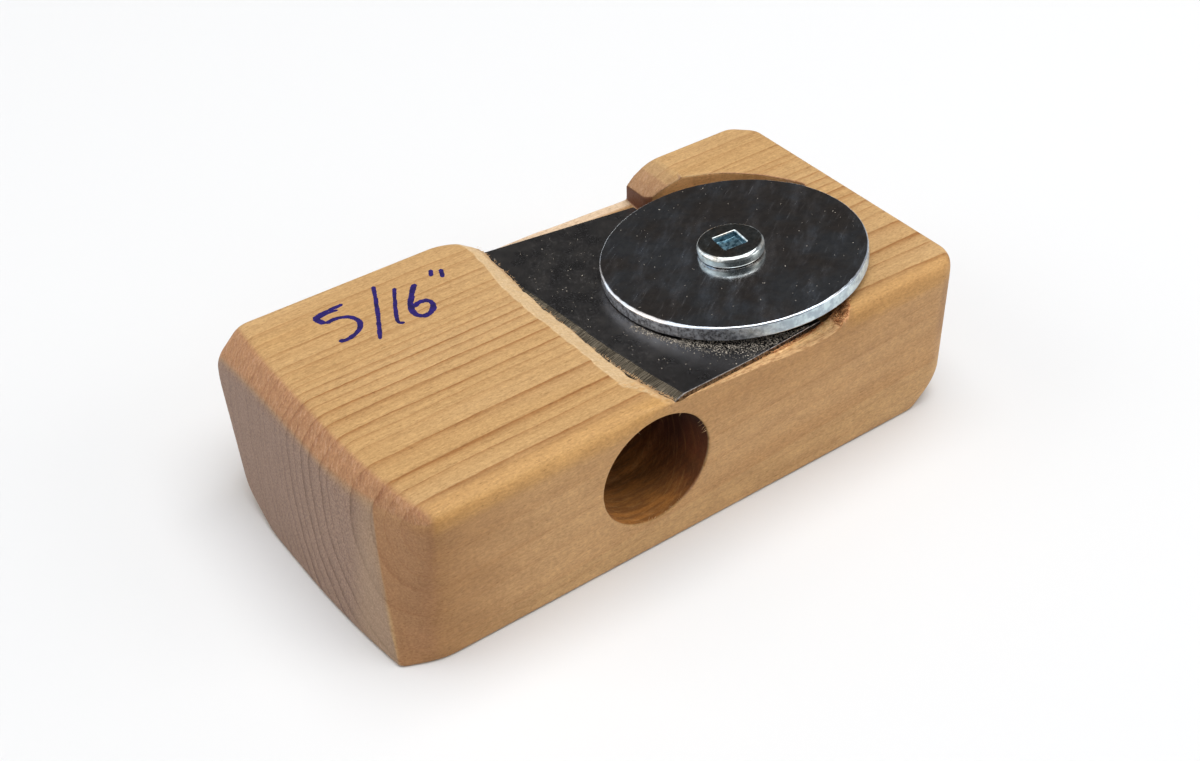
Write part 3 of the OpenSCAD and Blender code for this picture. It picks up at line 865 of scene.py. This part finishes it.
    col = n.mix(n.m("MULTIPLY", strip, 0.9), col, stripc)
    # cut surfaces round the blade and the washer are darker; the bore's colour is painted shade, near black at the top
    # and lit orange low down, with chatter and drill arcs in it
    col = n.mix(n.m("MULTIPLY", cuts, 0.45), col, tone_of(150, 105, 66, 0.9))
    low = n.lin(n.m("ADD", z, n.m("MULTIPLY", n.m("ADD", x, 5.8), 0.2)), 15.0, 5.0)
    chat = n.noise(n.join(n.m("MULTIPLY", n.m("ADD", y, n.m("MULTIPLY", z, 0.35)), 1.6), n.m("MULTIPLY", x, 0.25), n.m("MULTIPLY", z, 0.3)), 1.0, 3.0, 0.6)
    # painted shade: the bore darkens from lit orange at the bottom to near black at the top
    bore_shade_col = n.ramp(low, [(0.0, (0.018, 0.003, 0.003)), (0.45, (0.085, 0.020, 0.009)), (0.75, (0.25, 0.085, 0.022)), (1.0, (0.47, 0.185, 0.040))])
    arcs = n.noise(n.join(n.m("MULTIPLY", n.m("ADD", n.m("MULTIPLY", y, 1.0), n.m("MULTIPLY", z, -0.55)), 2.6), n.m("MULTIPLY", x, 0.5), n.m("MULTIPLY", z, 0.15)), 1.0, 4.0, 0.7)
    bore_shade_col = n.mix(n.step(chat, 0.38, 0.62), n.mix(n.m("MULTIPLY_ADD", low, 0.3, 0.15), bore_shade_col, (0.05, 0.018, 0.008)), bore_shade_col)
    bore_shade_col = n.mix(n.m("MULTIPLY", n.step(arcs, 0.48, 0.70), n.m("MULTIPLY", low, 0.45)), bore_shade_col, (0.55, 0.27, 0.09))
    col = n.mix(n.m("MULTIPLY", bore, 0.97), col, bore_shade_col)
    # painted light: a lit band on the near right wall of the bore, near its rim
    rim = n.m("MULTIPLY", bore, n.step(y, -15.0, -17.5))
    col = n.mix(n.m("MULTIPLY", rim, n.m("MULTIPLY", n.m("MULTIPLY", n.step(x, -0.5, 0.6), n.step(z, 7.4, 9.4)), n.step(z, 15.5, 13.0))), col, (2.2, 2.3, 1.8), "MULTIPLY")
    fstrip = n.m("MULTIPLY", n.m("MULTIPLY", n.step(y, 18.6, 19.2), n.m("MULTIPLY", n.step(z, 18.2, 17.6), n.step(z, 14.4, 15.2))), n.m("MULTIPLY", n.step(x, -5.5, -4.5), n.step(n.nz, 0.2, 0.5)))
    fstrip = n.m("MULTIPLY", fstrip, n.step(x, 20.2, 19.6))
    col = n.mix(n.m("MULTIPLY", fstrip, 0.85), col, tone_of(230, 202, 170, 0.95))
    # yellow-orange band along the near top edge
    band = n.m("MULTIPLY", n.step(y, -17.4, -19.4), n.step(z, 17.2, 18.6))
    band = n.m("MULTIPLY", band, n.m("SUBTRACT", 1.0, n.m("MAXIMUM", cham, end)))
    band = n.m("MULTIPLY", band, n.m("MAXIMUM", n.step(x, -3.6, -5.0), n.step(x, 20.0, 23.0)))
    col = n.mix(n.m("MULTIPLY", band, 0.55), col, tone_of(202, 152, 86, 0.95))
    nstrip = n.m("MULTIPLY", n.m("MULTIPLY", n.step(y, -17.2, -18.0), n.step(n.nz, 0.3, 0.6)), n.m("MULTIPLY", n.step(x, -4.0, -3.2), n.step(x, 21.2, 20.0)))
    nstrip = n.m("MULTIPLY", nstrip, n.step(z, 15.0, 16.0))
    nstrip_tone_and_light = n.mix(n.step(fleck, 0.36, 0.56), tone_of(176, 128, 82, 0.95), tone_of(208, 167, 118, 0.95))
    # painted light: the outer ledge beside the washer is lifted out of the washer's shade
    nstrip_tone_and_light = n.mix(n.m("MULTIPLY", n.step(y, -19.7, -19.0), n.step(x, 9.0, 13.0)), nstrip_tone_and_light, n.mix(n.step(fleck, 0.36, 0.56), tone_of(222, 172, 112, 1.1), tone_of(240, 198, 142, 1.1)))
    col = n.mix(n.m("MULTIPLY", nstrip, 0.9), col, nstrip_tone_and_light)
    # torn clump beside the washer: reddish torn-wood colour, painted lighter against the washer's shade
    clump_tone_and_light = n.m("MULTIPLY", n.m("MULTIPLY", n.step(x, 19.7, 20.5), n.step(y, -15.4, -16.4)), n.m("MULTIPLY", n.step(z, 20.09, 19.97), n.step(z, 18.0, 18.4)))
    clump_tone_and_light = n.m("MULTIPLY", clump_tone_and_light, n.step(n.ny, -0.95, -0.8))
    clump_tone_and_light = n.m("MULTIPLY", clump_tone_and_light, n.step(n.m("SUBTRACT", n.m("SUBTRACT", x, 21.1), n.m("MULTIPLY_ADD", y, 1.05, 21.3)), 0.3, 0.05))
    crumb = n.noise(n.pos, 2.6, 3.0, 0.7)
    col = n.mix(n.m("MULTIPLY", clump_tone_and_light, 0.9), col, n.mix(n.step(crumb, 0.38, 0.60), tone_of(196, 130, 84, 1.10), tone_of(244, 190, 134, 1.15)))
    col = n.mix(n.m("MULTIPLY", n.m("MULTIPLY", facet, n.m("SUBTRACT", 1.0, cham)), 0.8), col, tone_of(156, 111, 74, 1.12))
    # the far shoulder and the wall behind the washer are lightened with painted light; the torn wall below the shoulder
    # is darkened with painted shade
    farm = n.m("MULTIPLY", n.step(x, 19.0, 19.4), n.step(x, 28.0, 26.0))
    # painted light: the far shoulder is lightened and cooled
    slope = n.m("MULTIPLY", n.m("MULTIPLY", farm, n.step(y, 13.0, 13.6)), n.m("MULTIPLY", n.step(n.nx, -0.2, -0.4), n.step(n.nz, 0.25, 0.45)))
    col = n.mix(slope, col, n.mix(1.0, col, (1.10, 1.23, 1.36), "MULTIPLY"))
    # painted shade: the torn wall below the shoulder is darkened
    torn_wall_painted_shade = n.m("MULTIPLY", n.m("MULTIPLY", n.step(x, 19.0, 19.6), n.step(x, 22.6, 22.0)), n.m("MULTIPLY", n.step(y, 14.0, 14.6), n.m("MULTIPLY", n.step(n.nx, -0.7, -0.85), n.step(z, 18.6, 18.2))))
    col = n.mix(torn_wall_painted_shade, col, n.mix(1.0, col, (0.50, 0.34, 0.28), "MULTIPLY"))
    # painted light: the wall behind the washer is lightened
    arc_wall_painted_light = n.m("MULTIPLY", n.m("MULTIPLY", n.step(x, 21.0, 22.5), n.step(y, 3.0, 6.0)), n.m("MULTIPLY", n.step(n.nz, 0.5, 0.2), n.step(y, 15.6, 15.2)))
    col = n.mix(n.m("MULTIPLY", arc_wall_painted_light, n.step(z, 20.1, 19.9)), col, n.mix(1.0, col, (1.55, 1.50, 1.45), "MULTIPLY"))
    speck = n.noise(n.join(n.m("MULTIPLY", x, 2.6), n.m("MULTIPLY", y, 4.6), n.m("MULTIPLY", z, 4.6)), 1.0, 2.0, 0.6)
    grey = n.m("MULTIPLY", n.m("MULTIPLY_ADD", streak, 0.44, -0.22), n.m("SUBTRACT", 1.0, n.m("MULTIPLY", side, 0.65)))
    grey = n.m("ADD", grey, n.m("MULTIPLY_ADD", fleck, 0.34, -0.17))
    grey = n.m("MULTIPLY", grey, n.m("SUBTRACT", 1.0, n.m("MULTIPLY", bore, 0.75)))
    grey = n.m("ADD", grey, n.m("MULTIPLY_ADD", speck, 0.62, -0.31))
    dash = n.noise(n.join(n.m("MULTIPLY", x, 1.5), n.m("MULTIPLY", y, 7.0), n.m("MULTIPLY", z, 7.0)), 1.0, 1.0)
    grey = n.m("SUBTRACT", grey, n.step(dash, 0.62, 0.76, 0.0, 0.24))
    figure = n.noise(n.join(n.m("MULTIPLY", x, 0.16), n.m("MULTIPLY", y, 0.34), n.m("MULTIPLY", z, 0.34)), 1.0, 3.0, 0.6)
    grey = n.m("ADD", grey, n.m("MULTIPLY", n.m("MULTIPLY_ADD", figure, 0.44, -0.22), n.m("MULTIPLY_ADD", side, 0.7, 0.3)))
    grey = n.m("ADD", grey, n.m("MULTIPLY", n.m("MULTIPLY_ADD", ripple, 0.14, -0.07), n.m("SUBTRACT", 1.0, end)))
    col = n.mix(1.0, col, n.join(n.m("ADD", grey, 1.0), n.m("MULTIPLY_ADD", grey, 1.15, 1.0), n.m("MULTIPLY_ADD", grey, 1.35, 1.0)), "MULTIPLY")
    n.set(Base_Color=col, Roughness=n.m("ADD", n.m("MULTIPLY_ADD", fleck, 0.25, 0.45), n.m("MULTIPLY", bore, 0.35)))
    n.set(Specular_IOR_Level=0.3)
    # relief: fibres on all faces, scratches slanting over the chamfers
    h = n.m("ADD", n.m("MULTIPLY", streak, 0.6), n.m("MULTIPLY", fleck, 0.5))
    h = n.m("SUBTRACT", h, n.m("MULTIPLY", late, 0.25))
    h = n.m("MULTIPLY", h, n.m("SUBTRACT", 1.0, n.m("MULTIPLY", bore, 0.7)))
    slant = n.noise(n.join(n.m("MULTIPLY", n.m("SUBTRACT", y, n.m("MULTIPLY", z, 0.9)), 4.5), n.m("MULTIPLY", n.m("ADD", z, y), 0.25), 0.0), 1.0, 2.0, 0.6)
    h = n.m("ADD", h, n.m("MULTIPLY", n.m("MULTIPLY", slant, cham), 1.6))
    ring = n.m("SINE", n.m("ADD", n.m("MULTIPLY", y, 5.0), n.m("MULTIPLY", slow, 6.0)))
    h = n.m("ADD", h, n.m("MULTIPLY", n.m("MULTIPLY", ring, bore), 0.12))
    n.set(Normal=n.bump(h, 0.00009, 0.8))
    return n.mat


def steel_material():
    n = Nodes("blade_visual")
    x, y, z = n.x, n.y, n.z
    bevel = n.m("MULTIPLY", n.step(n.nx, -0.18, -0.26), n.step(x, -1.5, -1.8))
    cloud = n.noise(n.pos, 0.35, 4.0, 0.6)
    speck = n.noise(n.pos, 3.2, 3.0, 0.7)
    grind = n.noise(n.join(n.m("MULTIPLY", x, 0.5), n.m("MULTIPLY", y, 9.0), n.m("MULTIPLY", z, 0.5)), 1.0, 3.0, 0.65)
    rub = n.noise(n.join(n.m("MULTIPLY", n.m("ADD", x, y), 0.35), n.m("MULTIPLY", n.m("SUBTRACT", x, y), 5.5), 0.0), 1.0, 2.0, 0.6)
    base = n.mix(n.step(cloud, 0.35, 0.7), lin(104, 103, 104), lin(116, 113, 111))
    # painted shade: the near part of the blade is darker
    base = n.mix(n.step(y, -9.0, -16.0, 0.0, 0.7), base, lin(90, 88, 88))
    bcol = n.mix(n.step(grind, 0.36, 0.68), lin(60, 54, 46), lin(132, 122, 105))
    col = n.mix(bevel, base, bcol)
    worn = n.step(n.ny, -0.6, -0.9)
    col = n.mix(worn, col, n.mix(n.step(speck, 0.42, 0.6), lin(186, 182, 180), lin(104, 98, 94)))
    n.set(Base_Color=col, Metallic=0.96)
    rough = n.m("ADD", n.m("MULTIPLY_ADD", cloud, 0.20, 0.19), n.m("MULTIPLY", n.step(speck, 0.5, 0.7), 0.15))
    n.set(Roughness=n.m("ADD", rough, n.m("MULTIPLY", bevel, 0.08)))
    h = n.m("ADD", n.m("MULTIPLY", n.m("MULTIPLY", grind, bevel), 1.3), n.m("MULTIPLY", rub, 0.16))
    h = n.m("ADD", h, n.m("MULTIPLY", speck, 0.10))
    n.set(Normal=n.bump(h, 0.00003, 0.8))
    return n.mat


def zinc_material(name, tint, dark, small, centre, wall):
    """Bright plating, satin on the sheared side wall, which starts at radius wall; on the washer that wall carries
    painted reflections and painted shade.
    """
    n = Nodes(name)
    rel = n.v("SUBTRACT", n.pos, tuple(float(c) for c in centre))
    along = n.v("DOT_PRODUCT", rel, tuple(float(c) for c in SEAT_N))
    across = n.v("DOT_PRODUCT", n.join(n.nx, n.ny, n.nz), tuple(float(c) for c in SEAT_N))
    rad = n.m("SQRT", n.m("SUBTRACT", n.m("POWER", n.v("LENGTH", rel), 2.0), n.m("POWER", along, 2.0)))
    side = n.m("MULTIPLY", n.step(n.m("ABSOLUTE", across), 0.45, 0.15), n.step(rad, wall - 0.3, wall - 0.1))
    mott = n.noise(n.pos, 0.9 * small, 4.0, 0.65)
    grain = n.noise(n.pos, 6.0 * small, 3.0, 0.7)
    wipe = n.noise(n.join(n.m("MULTIPLY", n.m("ADD", n.x, n.m("MULTIPLY", n.y, 0.6)), 0.25), n.m("MULTIPLY", n.m("SUBTRACT", n.y, n.m("MULTIPLY", n.x, 0.6)), 3.0), n.m("MULTIPLY", n.z, 3.0)), 1.0, 3.0, 0.65)
    col = n.mix(n.step(mott, 0.35, 0.68), tint, dark)
    warm = n.noise(n.pos, 0.16 * small, 3.0, 0.6)
    col = n.mix(n.step(warm, 0.38, 0.62, 0.0, 0.8), col, n.mix(1.0, col, (0.90, 0.74, 0.62), "MULTIPLY"))
    smear = n.noise(n.join(n.m("MULTIPLY", n.m("ADD", n.x, n.y), 0.10 * small), n.m("MULTIPLY", n.m("SUBTRACT", n.x, n.y), 0.34 * small), n.z), 1.0, 4.0, 0.65)
    col = n.mix(n.step(smear, 0.44, 0.70, 0.0, 0.7), col, n.mix(1.0, col, (1.40, 1.46, 1.56), "MULTIPLY"))
    if small < 1.5:
        across_x = n.m("SUBTRACT", n.x, n.m("MULTIPLY", n.y, 0.35))
        # painted reflections on the washer's side wall: light bluish towards the near right, dull grey at the left,
        # brownish towards the far right
        wall_painted_light = n.step(across_x, 12.0, 22.0)
        patch = n.noise(n.pos, 2.0, 4.0, 0.7)
        wall_painted_reflection = n.mix(n.step(mott, 0.38, 0.62), lin(220, 236, 240), lin(176, 192, 202))
        wall_painted_shade = n.mix(n.step(patch, 0.36, 0.62), lin(104, 104, 108), lin(192, 196, 202))
        wall_painted_reflection = n.mix(wall_painted_light, wall_painted_shade, wall_painted_reflection)
        wall_painted_reflection = n.mix(n.step(across_x, 33.0, 36.5), wall_painted_reflection, n.mix(n.step(patch, 0.36, 0.62), lin(116, 108, 98), lin(176, 172, 162)))
        col = n.mix(side, col, wall_painted_reflection)
        n.set(Metallic=n.m("SUBTRACT", 1.0, n.m("MULTIPLY", side, n.m("MULTIPLY_ADD", wall_painted_light, 0.65, 0.1))))
    else:
        col = n.mix(side, col, lin(142, 150, 148))
        n.set(Metallic=1.0)
    n.set(Base_Color=col)
    rough = n.m("ADD", n.m("MULTIPLY_ADD", mott, 0.14, 0.07), n.m("MULTIPLY", n.step(wipe, 0.52, 0.78), 0.13))
    rough = n.m("ADD", rough, n.m("MULTIPLY", n.step(smear, 0.46, 0.72), 0.06))
    n.set(Roughness=n.m("ADD", rough, n.m("MULTIPLY", side, 0.28 if small < 1.5 else 0.06)))
    h = n.m("ADD", n.m("MULTIPLY", grain, 0.35), n.m("MULTIPLY", wipe, 0.25))
    h = n.m("ADD", h, n.m("MULTIPLY", mott, 0.5))
    n.set(Normal=n.bump(h, 0.00001, 0.6))
    if small > 1.5:
        inside = n.m("MULTIPLY", n.step(rad, 2.3, 2.2), n.step(along, 3.22, 3.1))
        n.set(Base_Color=n.mix(inside, col, n.mix(n.step(mott, 0.4, 0.6), lin(118, 152, 166), lin(54, 84, 98))))
        n.set(Metallic=n.m("SUBTRACT", 1.0, n.m("MULTIPLY", inside, 0.35)))
    return n.mat


def plain_material(name, a, b, rough, scale=2.0, spec=0.3):
    n = Nodes(name)
    f = n.noise(n.pos, scale, 3.0, 0.6)
    n.set(Base_Color=n.mix(n.step(f, 0.3, 0.7), a, b), Roughness=rough)
    n.set(Specular_IOR_Level=spec)
    n.set(Normal=n.bump(f, 0.00003, 0.5))
    return n.mat


def give(ob, mat, body, node=None):
    ob.data.materials.clear()
    ob.data.materials.append(mat)
    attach(ob, body)
    if node:
        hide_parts(node)


# ---------------------------------------------------------------- the object

wood = wood_material()
steel = steel_material()
zinc = zinc_material("washer_visual", lin(198, 206, 214), lin(170, 178, 188), 1.0, SEAT_P, 15.86)
zinc2 = zinc_material("screw_visual", lin(186, 192, 192), lin(140, 150, 152), 2.0, SCREW_O, 4.03)
fibre_mat = plain_material("fibre_visual", lin(226, 194, 150), lin(192, 146, 98), 0.7)
torn_mat = plain_material("torn_visual", lin(232, 176, 120), lin(172, 110, 66), 0.75)
dust_mat = plain_material("dust_visual", lin(214, 204, 188), lin(120, 112, 104), 0.7)
ink_mat = plain_material("ink_visual", lin(40, 24, 104), lin(22, 12, 68), 0.55, 1.2, 0.25)

block = make_block()
give(block, wood, "block", "block")
blade = make_blade()
give(blade, steel, "blade", "blade")
washer = make_washer()
give(washer, zinc, "washer", "washer")
screw = make_screw()
give(screw, zinc2, "screw", "screw")
give(slivers("lip_fibres", make_fibres()), fibre_mat, "block")
give(slivers("torn_fibres", make_torn()), torn_mat, "block")
(dp, ds), (tp, ts) = make_dust()
give(blobs("blade_dust", dp, ds), dust_mat, "blade")
give(blobs("washer_dust", tp, ts), dust_mat, "washer")
give(make_pen(), ink_mat, "block")
for ob in (block, blade, washer, screw):
    print(ob.name, "triangles", sum(len(q.vertices) - 2 for q in ob.data.polygons))

# ---------------------------------------------------------------- floor and light


def make_floor():
    me = bpy.data.meshes.new("floor")
    s = 3.0
    me.from_pydata([(-s, -s, -0.00005), (s, -s, -0.00005), (s, s, -0.00005), (-s, s, -0.00005)], [], [(0, 1, 2, 3)])
    ob = bpy.data.objects.new("floor", me)
    bpy.context.scene.collection.objects.link(ob)
    m = bpy.data.materials.new("floor_paper")
    m.use_nodes = True
    b = m.node_tree.nodes["Principled BSDF"]
    b.inputs["Base Color"].default_value = (0.80, 0.80, 0.80, 1)
    b.inputs["Roughness"].default_value = 0.95
    b.inputs["Specular IOR Level"].default_value = 0.05
    me.materials.append(m)


def area(name, loc, aim, size, power, color=(1, 1, 1), size_y=None):
    la = bpy.data.lights.new(name, "AREA")
    la.shape = "RECTANGLE"
    la.size, la.size_y = size, size_y or size
    la.energy = power
    la.color = color
    ob = bpy.data.objects.new(name, la)
    bpy.context.scene.collection.objects.link(ob)
    ob.location = loc
    ob.rotation_euler = (Vector(aim) - Vector(loc)).to_track_quat("-Z", "Y").to_euler()
    return ob


def make_world():
    """Pale surroundings with a darker side behind the object."""
    w = bpy.data.worlds.new("studio")
    bpy.context.scene.world = w
    w.use_nodes = True
    t = w.node_tree
    t.nodes.clear()
    out = t.nodes.new("ShaderNodeOutputWorld")
    bg = t.nodes.new("ShaderNodeBackground")
    tc = t.nodes.new("ShaderNodeTexCoord")
    dot = t.nodes.new("ShaderNodeVectorMath")
    dot.operation = "DOT_PRODUCT"
    d = Vector((0.42, 0.73, 0.50)).normalized()
    dot.inputs[1].default_value = d
    t.links.new(tc.outputs["Generated"], dot.inputs[0])
    dot2 = t.nodes.new("ShaderNodeVectorMath")
    dot2.operation = "DOT_PRODUCT"
    dot2.inputs[1].default_value = Vector((0.52, 0.85, 0.08)).normalized()
    t.links.new(tc.outputs["Generated"], dot2.inputs[0])

    def step(v, a, b):
        mr = t.nodes.new("ShaderNodeMapRange")
        mr.interpolation_type = "SMOOTHSTEP"
        mr.inputs["From Min"].default_value = a
        mr.inputs["From Max"].default_value = b
        t.links.new(v, mr.inputs["Value"])
        return mr.outputs[0]

    def mix(f, a, b):
        m = t.nodes.new("ShaderNodeMix")
        m.data_type = "RGBA"
        for i, v in ((0, f), (6, a), (7, b)):
            if isinstance(v, bpy.types.NodeSocket):
                t.links.new(v, m.inputs[i])
            else:
                m.inputs[i].default_value = v
        return m.outputs[2]

    both = t.nodes.new("ShaderNodeMath")
    both.operation = "MAXIMUM"
    t.links.new(step(dot.outputs["Value"], 0.78, 0.92), both.inputs[0])
    t.links.new(step(dot2.outputs["Value"], 0.78, 0.92), both.inputs[1])

    def lobe(x, y, z, a, b):
        n = t.nodes.new("ShaderNodeVectorMath")
        n.operation = "DOT_PRODUCT"
        n.inputs[1].default_value = Vector((x, y, z)).normalized()
        t.links.new(tc.outputs["Generated"], n.inputs[0])
        return step(n.outputs["Value"], a, b)

    lp = t.nodes.new("ShaderNodeLightPath")
    gloss = mix(lobe(-0.42, -0.73, 0.45, 0.55, 0.9), (0.66, 0.68, 0.71, 1), (0.20, 0.20, 0.205, 1))
    gloss = mix(lobe(-0.80, 0.46, 0.50, 0.52, 0.80), gloss, (1.9, 1.92, 1.95, 1))
    soft = mix(lp.outputs["Is Glossy Ray"], (0.316, 0.326, 0.345, 1), gloss)
    soft = mix(both.outputs[0], soft, (0.056, 0.052, 0.050, 1))
    soft = mix(lp.outputs["Is Camera Ray"], soft, (0.96, 0.96, 0.96, 1))
    t.links.new(soft, bg.inputs["Color"])
    t.links.new(bg.outputs[0], out.inputs["Surface"])


make_floor()
make_world()
area("top_light", (0.13, -0.03, 0.94), (0, 0, 0), 0.9, 9.5, (1.0, 0.998, 0.992))
area("left_light", (-0.74, 0.45, 0.57), (0, 0, 0), 0.6, 1.7, (0.99, 0.995, 1.0))
area("right_light", (0.70, -0.60, 0.45), (0, 0, 0), 0.5, 1.6, (1.0, 0.985, 0.955))

sc = bpy.context.scene
sc.view_settings.view_transform = "Standard"
sc.view_settings.look = "None"
sc.view_settings.exposure = 0.0
sc.view_settings.gamma = 1.0
